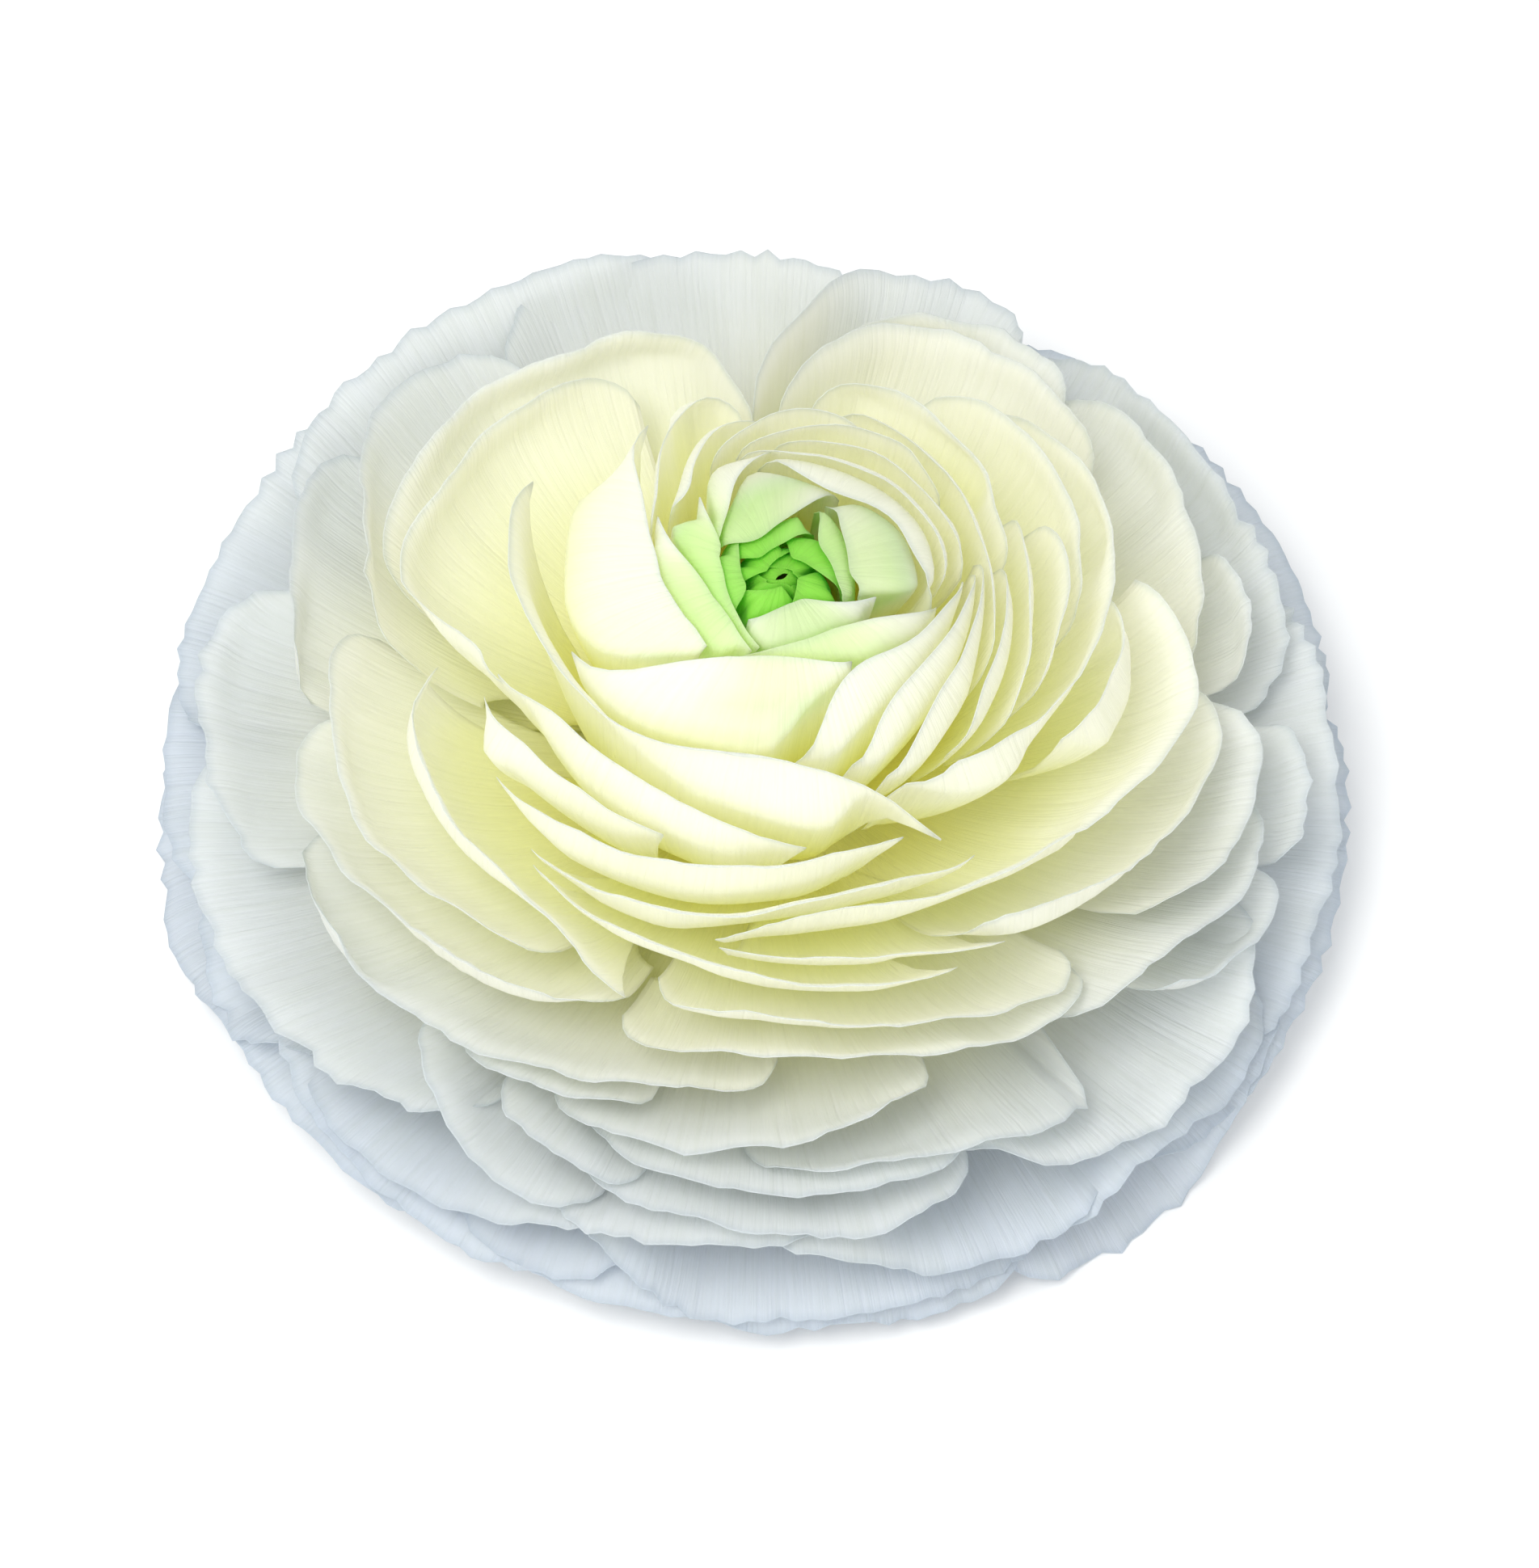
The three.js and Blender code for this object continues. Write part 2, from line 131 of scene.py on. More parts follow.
# name, CAD node it stands for (or none), reach past the dome, ruffle and lip in mm, rim pairs; innermost first
petals = [
    ("eyeSeedA", None, 1, 0.03, 0.0, [(-20, 0.2), (60, 0.03), (170, 0.03), (260, 0.15)]),
    ("eyeSeedB", None, 0.975, 0.05, 0.0, [(160, 0.5), (240, 0.12), (340, 0.1), (440, 0.4)]),
    ("eyeHeartA", None, 0.955, 0.12, 0.0, [(150, 1.2), (200, 0.5), (250, 0.15), (300, 0.3), (350, 0.9)]),
    ("eyeHeartB", None, 0.965, 0.12, 0.0, [(-40, 1.0), (20, 0.4), (80, 0.2), (130, 0.5), (175, 1.1)]),
    ("eyeHeartC", None, 0.975, 0.12, 0.0, [(60, 1.6), (100, 1.1), (150, 0.8), (200, 0.9)]),
    ("eyeFoldA", "petal_eye_core", 0.99, 0.1, 0.0, [(196, 2.8), (232, 1.5), (268, 0.8), (300, 0.4)]),
    ("eyeFoldB", None, 0.99, 0.1, 0.0, [(272, 3.1), (307, 1.8), (342, 1.2), (374, 0.9)]),
    ("eyeFoldC", None, 0.99, 0.1, 0.0, [(344, 3.4), (379, 2.3), (414, 1.7), (446, 1.4)]),
    ("eyeFoldD", None, 0.995, 0.1, 0.0, [(56, 3.9), (91, 2.8), (126, 2.2), (158, 1.9)]),
    ("eyeFoldE", None, 0.995, 0.1, 0.0, [(128, 4.4), (163, 3.3), (198, 2.8), (226, 2.9)]),
    ("eyeFoldF", None, 1, 0.1, 0.0, [(-30, 4.9), (5, 4.2), (40, 4.0), (66, 4.6)]),
    ("eyeRight", "petal_eye_right", 1, 0.12, 0.0, [(-20, 5.8), (0, 5.4), (42, 6.3), (62, 7.2)]),
    ("eyeFront", "petal_eye_front", 1, 0.12, 0.0, [(238, 4.4), (262, 3.2), (289, 2.7), (318, 3.3), (346, 7.4)]),
    ("eyeBack", "petal_eye_back", 1, 0.12, 0.0, [(58, 8.2), (77, 6.0), (102, 4.2), (150, 4.0)]),
    ("budRight", "petal_bud_right", 1, 0.15, 0.1, [
        (-8, 12.2), (7, 11.1), (31, 10.7), (58, 9.0), (83, 9.6), (98, 10.8),
    ]),
    ("budSliver", None, 1, 0.15, 0.0, [
        (88, 12.9), (96, 12.2), (108, 10.4), (119, 8.2), (138, 6.2), (152, 5.0),
    ]),
    ("budLeft", "petal_bud_left", 1, 0.15, 0.0, [
        (130, 9.6), (138, 7.0), (164, 5.0), (200, 4.5), (229, 5.0), (256, 6.4),
    ]),
    ("budBackThin", None, 1, 0.15, 0.2, [(3, 13.0), (18, 13.4), (45, 13), (65, 12.4), (86, 12.2), (104, 12.6)]),
    ("budLeftInner", None, 1, 0.15, 0.0, [(148, 11.2), (167, 7.7), (203, 5.6), (232, 5.8), (252, 6.9)]),
    ("budBackMid", None, 1, 0.15, 0.2, [(8, 15.4), (22, 15.3), (40, 15.2), (58, 15.2), (74, 14.3), (92, 13.3)]),
    ("budBack", "petal_bud_back", 1, 0.2, 0.3, [
        (34, 16.4), (46, 17.3), (57, 18.0), (69, 17.2), (79, 15.9), (92, 14.4), (104, 13.2),
    ]),
    ("budBackOuter", None, 1, 0.2, 0.3, [(64, 18.2), (80, 18.4), (89, 17.7), (101, 15.2), (114, 13.0)]),
    ("fanInner", None, 1, 0.2, 0.3, [
        (92, 15.6), (98, 16.6), (106, 16.6), (117, 13.9), (128, 11.3), (142, 9.6),
    ]),
    ("fanBack", "petal_fan_back", 1, 0.25, 0.4, [
        (97, 19.5), (105, 21.4), (116, 19.3), (128, 15.6), (141, 12.4), (154, 10.6),
    ]),
    ("fanLeft", "petal_fan_left", 1, 0.2, 0.2, [
        (121, 21.4), (126, 20.2), (141, 14.5), (160, 11.0), (186, 9.0), (208, 8.2), (228, 8.0),
    ]),
    ("budFrontThin", None, 1, 0.15, 0.1, [
        (244, 7.4), (262, 6.6), (285, 6.2), (318, 6.8), (340, 9.0), (354, 11.4),
    ]),
    ("budFront", "petal_bud_front", 1, 0.15, 0.2, [
        (198, 17.9), (206, 16.9), (213, 14.8), (221, 11.9), (234, 9.2), (249, 7.9), (285, 7.8), (306, 9.3),
    ]),
    ("budSide", "petal_bud_side", 1, 0.15, 0.3, [
        (275, 15.6), (284, 12.4), (295, 10.8), (307, 10.1), (335, 12.2), (352, 13.6), (367, 15.4),
    ]),
    ("budSideMid", None, 1, 0.15, 0.3, [
        (289, 17.6), (297, 15.8), (308, 14.4), (325, 13.9), (350, 15.1), (370, 16.4),
    ]),
    ("budSideOuter", None, 1, 0.15, 0.3, [
        (297, 19.6), (306, 18.2), (320, 16.9), (338, 16.5), (356, 16.8), (374, 17.2),
    ]),
    ("cupRightThin", None, 1, 0.2, 0.3, [
        (-20, 18.9), (-8, 18.2), (12, 17.9), (28, 18.2), (46, 18.9), (60, 19.4), (76, 19.3),
    ]),
    ("cupRightInner", None, 1, 0.2, 0.3, [(-42, 20.4), (-34, 19.8), (-20, 19.4), (-3, 19.3), (13, 19.6)]),
    ("cupBack", "petal_cup_back", 1, 0.3, 0.5, [
        (12, 20), (22, 20.6), (40, 22.4), (52, 23.2), (65, 25), (76, 23.7), (82, 21.4),
    ]),
    ("cupBright", None, 1, 0.25, 0.5, [(-30, 22.4), (-22, 22.1), (-9, 22), (2, 21.7), (13, 21.9), (28, 22.3)]),
    ("cupRightMid", None, 1, 0.25, 0.5, [(-19, 23.6), (-9, 24.3), (4, 25.4), (11, 26), (18, 26.4), (26, 25.2)]),
    ("cupRight", "petal_cup_right", 1, 0.3, 0.6, [
        (0, 26.2), (12, 27.6), (31, 30), (43, 30.9), (54, 31), (63, 27.6),
    ]),
    ("cupLipRight", "petal_cup_lip_right", 1, 0.35, 0.7, [
        (-62, 20.4), (-54, 20.5), (-46, 21.2), (-39, 22.4), (-27, 24.6), (-15, 26.6), (0, 28.9),
        (15, 31.4), (33, 34), (57, 33.4),
    ]),
    ("cupLipLeft", "petal_cup_lip_left", 1, 0.3, 1.5, [
        (146, 25.9), (151, 25.4), (164, 23), (181, 20.4), (195, 18.8), (210, 17.9), (231, 17.0),
        (253, 15.7), (266, 15.6), (279, 16.6), (288, 18), (295, 20), (299, 21.9), (304, 26.6),
    ]),
    ("foldFront", "petal_fold_front", 1, 0.3, 0.7, [
        (194, 24.8), (209, 21.7), (230, 20.6), (254, 21.3), (268, 22.8), (277, 23.6),
    ]),
    ("cupLeft", "petal_cup_left", 1, 0.35, 0.6, [
        (112, 34.3), (124, 33.9), (132, 34), (152, 33.8), (168, 33.9), (175, 30.4), (186, 25.3),
        (195, 22.5),
    ]),
    ("foldLeft", None, 1, 0.3, 0.7, [(197, 26.6), (212, 24.8), (230, 24), (247, 24.2)]),
    ("crescentFront", "petal_crescent_front", 1, 0.3, 1.2, [
        (212, 28.6), (228, 26.9), (245, 25.9), (260, 25), (276, 24.4), (286, 24), (297, 24.9),
    ]),
    ("skirtBackInner", "petal_skirt_back_inner", 1, 0.5, 0.8, [
        (36, 38.6), (58, 40.4), (66, 40), (72, 38), (76, 35.2), (82, 29.5), (89, 22.2),
    ]),
    ("bandFront", "petal_band_front", 1, 0.35, 1.2, [
        (226, 30.6), (250, 29.3), (262, 29), (277, 27.6), (291, 27.3), (308, 29.3),
    ]),
    ("bandRight", "petal_band_right", 1, 0.4, 1.0, [
        (261, 31.2), (272, 29.2), (284, 28.8), (298, 30.2), (310, 31.2), (327, 33.5), (337, 35.4),
        (346, 37.3), (355, 38.8), (362, 38.6), (368, 37.2), (373, 34.9),
    ]),
    ("cupRightSliver", None, 1, 0.3, 0.5, [(-24, 28.2), (-15, 29.6), (0, 31.3), (8, 30.8)]),
    ("skirtBackLeft", "petal_skirt_back_left", 1, 0.45, 0.8, [
        (94.5, 19.6), (98, 27), (102, 32.2), (108, 35.7), (115, 37.4), (121, 37.3), (129, 39.5),
        (143, 39.1), (158, 38.5), (166, 36.6),
    ]),
    ("ruffleRightInner", None, 1, 0.4, 0.6, [(262, 31.9), (270, 32.2), (284, 33.3), (296, 34.8), (306, 37)]),
    ("ruffleRight", "petal_ruffle_right", 1, 0.45, 0.6, [
        (299, 32.4), (308, 34.4), (314, 35.8), (323, 38), (333, 40.3), (342, 41.8), (352, 42.5), (358, 42),
        (362, 40),
    ]),
    ("ruffleFront", "petal_ruffle_front", 1, 0.4, 0.9, [
        (228, 31.6), (240, 31.9), (250, 32.3), (262, 32.9), (271, 34), (283, 35.2), (298, 37),
    ]),
    ("ruffleLeft", "petal_ruffle_left", 1, 0.4, 0.8, [
        (186, 29), (193, 32.2), (204, 32.8), (216, 33.2), (227, 33.4), (236, 34), (243, 35.8), (250, 37.6),
    ]),
    ("skirtFrontInner", "petal_skirt_front_inner", 1, 0.5, 0.6, [
        (252.5, 34.2), (255, 36), (260, 36.6), (270, 36.9), (282, 38.5), (296, 40.5), (305, 42.2),
        (316, 42.8),
    ]),
    ("skirtLeftUpper", "petal_skirt_left_upper", 1, 0.6, 0.6, [
        (119, 50), (123, 52.8), (130, 53), (136, 51.3), (144, 47.3), (152, 42.7), (161, 39.2), (169, 37),
        (178, 32.6),
    ]),
    ("skirtLeft", "petal_skirt_left", 1, 0.5, 0.8, [
        (169.5, 41), (178, 40.4), (191, 39.9), (208, 39.9), (215, 39.1), (227, 37.5), (236, 35.8),
    ]),
    ("skirtBackSecond", None, 1, 0.6, 0.6, [(46, 44.4), (60, 45.5), (68, 42.6), (75, 38.9), (81, 33.6)]),
    ("skirtRightBack", "petal_skirt_right_back", 1, 0.6, 0.6, [
        (2, 39.8), (8, 41), (15, 42.1), (26, 44), (36, 45.5), (52, 46.4),
    ]),
    ("skirtLeftFront", "petal_skirt_left_front", 1, 0.5, 0.7, [
        (182, 43), (186, 44.4), (192, 45), (199, 44.3), (210, 43), (220, 41.5), (231, 40.6), (242, 39.2),
        (249, 38.6),
    ]),
    ("skirtFront", "petal_skirt_front", 1, 0.5, 0.7, [
        (249, 39), (254, 40.2), (265, 39.8), (274, 40.4), (290, 42.1), (300, 43.6), (308, 44.7),
        (316, 45.2),
    ]),
    ("skirtRightFront", "petal_skirt_right_front", 1, 0.55, 0.6, [
        (325, 42.6), (331, 44.6), (336, 46), (344, 47), (354, 46.7), (361, 44.4),
    ]),
    ("skirtRightThin", None, 1, 0.5, 0.5, [(2, 44.6), (11, 46.5), (17, 46.3), (22, 44.6)]),
    ("skirtBack", "petal_skirt_back", 1.02, 0.7, 0.6, [
        (56, 49.5), (67, 54), (73, 51.4), (78, 48.7), (83, 42.4), (87, 34.4), (91, 27), (93.5, 20.6),
    ]),
    ("skirtFrontLeft", "petal_skirt_front_left", 1, 0.6, 0.7, [
        (196, 46.2), (207, 46.6), (218, 47.5), (225, 47.1), (233, 46.6), (248, 44.7), (264, 42.5),
        (272, 41.4),
    ]),
    ("skirtFrontThin", None, 1, 0.5, 0.5, [(231, 47.8), (240, 46.9), (248, 46.2), (257, 45.1)]),
    ("skirtSide", "petal_skirt_side", 1, 0.6, 0.6, [
        (140, 52), (146, 52), (152, 50.4), (162, 47.2), (174, 44.2), (181, 42.2),
    ]),
    ("skirtRight", "petal_skirt_right", 1, 0.6, 0.5, [
        (308, 45.6), (316, 45.8), (323, 46.4), (331, 48.5), (339, 49.6), (346, 49), (350, 47.6),
    ]),
    ("skirtFrontMid", "petal_skirt_front_mid", 1, 0.6, 0.7, [
        (243, 47.6), (256, 48.1), (263, 48.4), (270, 47.6), (277, 46.9), (285, 44.9), (292, 43.3),
    ]),
    ("outerLeft", "petal_outer_left", 1.03, 0.7, 0.5, [
        (161, 49.8), (166, 53.4), (176, 54.3), (187, 52.8), (199, 52),
    ]),
    ("outerBack", "petal_outer_back", 1.035, 0.6, 0.4, [
        (76, 50.6), (85, 50.4), (92, 50.8), (99, 54.2), (109, 56), (116, 55), (122, 53),
    ]),
    ("outerBackLeft", None, 1.085, 0.6, 0.4, [(100, 55.0), (110, 55.6), (122, 55.8), (134, 56), (146, 55.5)]),
    ("outerFrontMid", None, 1, 0.5, 0.5, [(248, 49.4), (262, 50.7), (273, 51.8), (287, 52), (296, 52.2)]),
    ("outerFrontRight", "petal_outer_front_right", 1, 0.6, 0.5, [
        (267, 48.8), (274, 49.5), (282, 50.1), (292, 50.9), (298, 51.6), (305, 52.6), (308.5, 51),
        (309, 47.6),
    ]),
    ("outerBackRight", "petal_outer_back_right", 1, 0.7, 0.4, [
        (2, 53), (16, 52.4), (30, 51.6), (45, 52), (60, 55),
    ]),
    ("outerSideRight", "petal_outer_side_right", 1, 0.6, 0.4, [
        (295, 52.6), (298, 54.4), (305, 57.1), (311, 58.3), (318, 57.9), (325, 57.7), (330, 55.4),
        (333, 53.6),
    ]),
    ("outerRightThin", None, 1, 0.5, 0.4, [(319, 46.8), (325, 50.5), (330, 52), (337, 53.4), (343, 53)]),
    ("outerFrontLeftThin", None, 1, 0.5, 0.4, [(238, 49), (246, 51), (252, 52.4), (258, 53.2)]),
    ("outerFront", "petal_outer_front", 1, 0.6, 0.5, [
        (247, 52), (250, 52.8), (260, 53.9), (270, 54.9), (276, 55.8), (283, 55.9), (289, 55.2),
        (294, 53.8),
    ]),
    ("outerLeftFront", "petal_outer_left_front", 1, 0.6, 0.5, [
        (225.5, 47.8), (231, 50.2), (235, 52), (240, 54.9), (246, 56.1), (254, 56.6),
    ]),
    ("outerRight", None, 1, 0.6, 0.4, [(342, 53), (348, 53.4), (353, 52.8), (360, 50.2)]),
    ("outerSideLeft", "petal_outer_side_left", 1.03, 0.7, 0.4, [
        (184, 56), (191, 57.8), (198, 58.3), (208, 57.9), (214, 56.4), (222, 55.8), (233, 54),
    ]),
    ("hemFrontInner", None, 1, 0.5, 0.4, [(252, 57.4), (259, 57.2), (266, 56.7), (273, 56.9)]),
    ("hemLeftBack", "petal_hem_left_back", 1.075, 0.8, 0.3, [
        (120, 58), (136, 58.6), (150, 59.4), (160, 61), (167, 62.4), (172, 62.5),
    ]),
    ("hemSideThin", None, 1, 0.6, 0.3, [
        (300, 64.6), (304, 62.8), (309, 61.4), (315, 61.6), (322, 62.8), (328, 62),
    ]),
    ("hemFrontRight", "petal_hem_front_right", 1, 0.6, 0.4, [
        (272, 57.6), (278, 58.4), (285, 61.2), (290, 62.6), (297, 63.7), (304, 63.2),
    ]),
    ("hemRight", "petal_hem_right", 1, 0.7, 0.3, [
        (326, 62.8), (334, 62.2), (341, 60.4), (346, 60.6), (353, 60), (358, 57.4), (366, 56), (376, 54.6),
    ]),
    ("hemFillLeft", None, 1, 0.7, 0.3, [(196, 63.5), (206, 64.5), (216, 65), (226, 65.5), (236, 66)]),
    ("hemFillBackLeft", None, 1.03, 0.7, 0.3, [(146, 61), (158, 62.5), (168, 63.5), (180, 64.5), (190, 65)]),
    ("hemFillRight", None, 1, 0.7, 0.3, [(312, 65), (326, 65.5), (340, 64.5), (354, 63), (368, 62)]),
    ("hemFillFront", None, 1, 0.7, 0.3, [(240, 64.5), (252, 65.5), (266, 66), (284, 66), (298, 66)]),
    ("hemBack", "petal_hem_back", 1, 0.7, 0.3, [(40, 66.5), (56, 69.8), (75, 71.2), (94, 70), (112, 66.5)]),
    ("hemBackUpper", None, 1, 0.7, 0.3, [(70, 60), (86, 61.5), (104, 61.5), (122, 60.5)]),
    ("hemBackRight", None, 1, 0.7, 0.3, [(4, 60.5), (18, 62), (34, 62), (48, 61.5), (62, 61)]),
    ("hemFrontLeftThin", None, 1, 0.6, 0.3, [(221, 61.8), (229, 61.9), (237, 61.6), (244, 60), (251, 58.2)]),
    ("hemFrontLeft", "petal_hem_front_left", 1, 0.7, 0.3, [
        (214, 60.6), (219, 62), (224, 62.8), (232, 64.2), (239, 65.4), (246, 65.4), (254, 64),
    ]),
    ("hemLeft", "petal_hem_left", 1.02, 0.8, 0.3, [
        (172, 64.5), (182, 68.6), (190, 70.4), (196, 70), (203, 67), (209, 64.4), (214, 61),
    ]),
    ("hemFront", "petal_hem_front", 1, 0.7, 0.3, [
        (255, 61), (258, 62.8), (262, 65), (270, 67.5), (279, 67), (285, 68.4), (295, 68.2),
    ]),
    ("hemSideRight", "petal_hem_side_right", 1, 0.8, 0.3, [
        (294, 68), (300, 70.2), (308, 71.2), (315, 70), (320, 67), (326, 64.8), (332, 64),
    ]),
]

petalLook = {
    "columnMm": 1.1,  # grid pitch across
    "fewestColumns": 22,
    "mostColumns": 90,
    "rows": 30,
    "rowCrowd": 1.5,  # above 1 the rows crowd together at the rim
    "sideCrowd": 0.3,  # how much the columns crowd together at the sides
    "clawHalf": 0.3,  # half width of the claw, as a share of the petal's
    "clawRise": 0.5,  # how far up the sides of a petal start
    "bodyRise": 0.15,  # height of the corners that round off
    "pointGap": 0.015,  # height left at the very tip of a point
    "pointCurve": 1.4,
    "lipLength": 3.2,  # mm of rim that rolls outward
    "bellyGap": 0.45,  # mm between a closed petal and the next rim over it
    "bellyMost": 10,  # mm
    "bellyBand": 0.13,  # share of the height under the rim where the bulge starts
    "hugFrom": 0.85,  # share of the height from which a petal lies on its own surface
    "lowLevel": 55,  # petals further out than this get a wider claw
    "lowWiden": 6,  # degrees on each side
    "restFrom": 0.6,  # mm above the surface where the lowest rims flatten out
    "restGap": 0.2,  # mm they stay above it
    "scallop": 0.024,  # rim waves, as a share of the height for each mm of ruffle
    "nibble": 0.012,
    "pleat": 0.09,  # mm
    "edgeThinning": 1.2,  # mm over which a petal thins toward its rim
}
# waves along the rim: how many, slowest and fastest in radians per mm, height in mm, how deep they fade
rimWaves = [(4, 0.10, 0.32, 0.7, 9), (5, 0.5, 1.15, 0.75, 2.6), (6, 1.3, 2.8, 0.22, 1.1)]
# how closed a petal is: 1 hugs the dome as far as the next rim, 0 opens outward (degrees, amount)
closedPetals = {
    "eyeSeedA": 1, "eyeSeedB": 1, "eyeHeartA": 1, "eyeHeartB": 1, "eyeHeartC": 1, "eyeFoldA": 1,
    "eyeFoldB": 1, "eyeFoldC": 1, "eyeFoldD": 1, "eyeFoldE": 1, "eyeFoldF": 1, "eyeRight": 1,
    "eyeFront": 1, "eyeBack": 1, "budRight": 0.9, "budSliver": 0.8, "budLeft": 1, "budLeftInner": 1,
    "budBackThin": 0.4, "budBackMid": 0.4, "budBack": 0.4, "budBackOuter": 0.4, "fanInner": 0.4,
    "fanBack": 0.3, "fanLeft": [(121, 0.2), (150, 0.75), (228, 0.9)], "budFrontThin": 1, "budFront": 0.97,
    "budSide": 0.95, "budSideMid": 0.9, "budSideOuter": 0.8,
    "cupLipLeft": [(146, 0), (215, 0), (250, 0.8), (285, 0.8), (297, 0.2), (304, 0)],
    "foldFront": [(194, 0.3), (225, 0.8), (277, 0.8)], "foldLeft": 0.75, "crescentFront": 0.7,
    "bandFront": 0.6, "cupRightThin": 0.6, "cupRightInner": 0.6, "cupBack": 0.4, "cupBright": 0.5,
    "cupRightMid": 0.5, "cupRight": 0.4, "skirtBack": 0, "outerBack": 0,
}
mostClosed = 0.35  # for petals not listed
# share of the width over which a petal runs out to a point, at its first and last side
pointedPetals = {
    "fanLeft": (0.16, 0), "cupLipLeft": (0.16, 0.10), "foldFront": (0.14, 0.12), "foldLeft": (0.15, 0.12),
    "crescentFront": (0.14, 0.16), "bandFront": (0.12, 0.12), "ruffleLeft": (0, 0.14),
    "ruffleFront": (0.1, 0.12), "ruffleRightInner": (0.12, 0.1), "budFront": (0.06, 0.02),
    "cupRightSliver": (0.15, 0.1), "bandRight": (0.08, 0), "eyeFront": (0.05, 0.12), "budLeft": (0.1, 0.1),
    "budLeftInner": (0.1, 0.1),
}
sheetGrid = np.arange(0, 360, 1.0)


# lowest rim of the petals outside this one, round the flower
def coverLevel(index):
    best = np.full(360, 99.0)
    for row in petals[index + 1:]:
        rim = row[5]
        turn = (sheetGrid - rim[0][0]) % 360 + rim[0][0]
        inside = turn <= rim[-1][0]
        best[inside] = np.minimum(best[inside], rimLevel(rim, turn[inside]))
    low = np.min([np.roll(best, n) for n in range(-6, 7)], axis=0)
    weights = np.exp(-(np.arange(-8, 9) / 4.0) ** 2)
    weights /= weights.sum()
    return sum(w * np.roll(low, n) for w, n in zip(weights, range(-8, 9)))


def waveNoise(rng, count, low, high):
    parts = [(rng.uniform(low, high), rng.uniform(0, 6.283), rng.uniform(0.5, 1)) for _ in range(count)]
    total = sum(p[2] for p in parts)
    return lambda x: sum(p[2] * np.sin(x * p[0] + p[1]) for p in parts) / total


# unit normals of a grid of points, away from the axis
def sheetNormal(grid):
    normal = np.cross(np.gradient(grid, axis=0), np.gradient(grid, axis=1))
    return normal / (np.linalg.norm(normal, axis=-1, keepdims=True) + 1e-9)


# closed thin sheet from a grid of points, thinner at the rim
def closedSheet(name, grid, thickness, tone, coords, material):
    cols, rows = grid.shape[:2]
    normal = sheetNormal(grid)
    half = (thickness / 2)[..., None]
    points = np.concatenate([(grid + normal * half).reshape(-1, 3), (grid - normal * half).reshape(-1, 3)])
    back = cols * rows
    c, r = np.meshgrid(np.arange(cols - 1), np.arange(rows - 1), indexing="ij")
    a = (c * rows + r).ravel()
    b, e, f = a + rows, a + rows + 1, a + 1
    faces = [np.stack([a, b, e, f], 1), np.stack([a + back, f + back, e + back, b + back], 1)]
    i = np.arange(cols - 1) * rows
    faces.append(np.stack([i + rows, i, i + back, i + rows + back], 1))
    j = i + rows - 1
    faces.append(np.stack([j, j + rows, j + rows + back, j + back], 1))
    k = np.arange(rows - 1)
    faces.append(np.stack([k, k + 1, k + 1 + back, k + back], 1))
    m = k + (cols - 1) * rows
    faces.append(np.stack([m + 1, m, m + back, m + 1 + back], 1))
    mesh = bpy.data.meshes.new(name)
    mesh.from_pydata((points * mm).tolist(), [], np.concatenate(faces).tolist())
    mesh.update()
    toneLayer = mesh.attributes.new("tone", "FLOAT_COLOR", "POINT")
    full = np.concatenate([tone.reshape(-1, 3), tone.reshape(-1, 3)])
    toneLayer.data.foreach_set("color", np.c_[full, np.ones(len(full))].ravel())
    place = mesh.attributes.new("petalPlace", "FLOAT_VECTOR", "POINT")
    place.data.foreach_set("vector", np.concatenate([coords.reshape(-1, 3)] * 2).ravel())
    mesh.polygons.foreach_set("use_smooth", [True] * len(mesh.polygons))
    piece = bpy.data.objects.new(name, mesh)
    bpy.context.collection.objects.link(piece)
    mesh.materials.append(material)
    return piece


petalTones = {
    "white": (0.95, 0.945, 0.905),
    # outer and hem: partly the petals' own cool tone, partly painted cool shade on the outer and lowest petals,
    # whose sides face away from the light
    "outer": (0.845, 0.865, 0.875),
    "hem": (0.76, 0.80, 0.85),
    "cream": (0.972, 0.974, 0.91),
    "yellow": (0.967, 0.970, 0.78),
    "deep": (0.94, 0.93, 0.44),
    # painted shade: grey-blue darkening along the very rim
    "paintedRimShade": (0.82, 0.85, 0.88),
}
# rim colour of the eye petals by level
eyeTones = [
    (0, (0.36, 0.88, 0.08)), (2.2, (0.44, 0.90, 0.13)), (3.4, (0.58, 0.92, 0.26)), (4.8, (0.76, 0.94, 0.46)),
    (6.5, (0.86, 0.94, 0.64)), (8.5, (0.92, 0.94, 0.76)), (9.5, (0.92, 0.93, 0.80)),
]
# eye petals coloured as if they were this many mm further out
palerEye = {"eyeFront": 3.4, "eyeRight": 1.0, "eyeBack": 1.4, "eyeFoldF": 0.8}


# by level: mm under the rim where the cream starts, and mm over which it deepens; the cream and yellow are partly
# the petals' own colour, partly painted glow and shade
toneDepth = {
    "level": (0, 8, 20, 32, 45, 56, 72),
    "start": (0.5, 0.5, 0.5, 0.5, 2.0, 5.0, 12.0),
    "span": (4.0, 7.0, 8.0, 11.0, 13.0, 16.0, 22.0),
}
# by level: how much cream the rim itself has
rimWarmth = {"level": (0, 10, 24, 40, 55, 72), "share": (0.8, 0.40, 0.35, 0.20, 0.05, 0.0)}


def toneOf(name):
    return np.array(petalTones[name])


def blendTone(a, b, k):
    return a + (b - a) * np.asarray(k)[..., None]
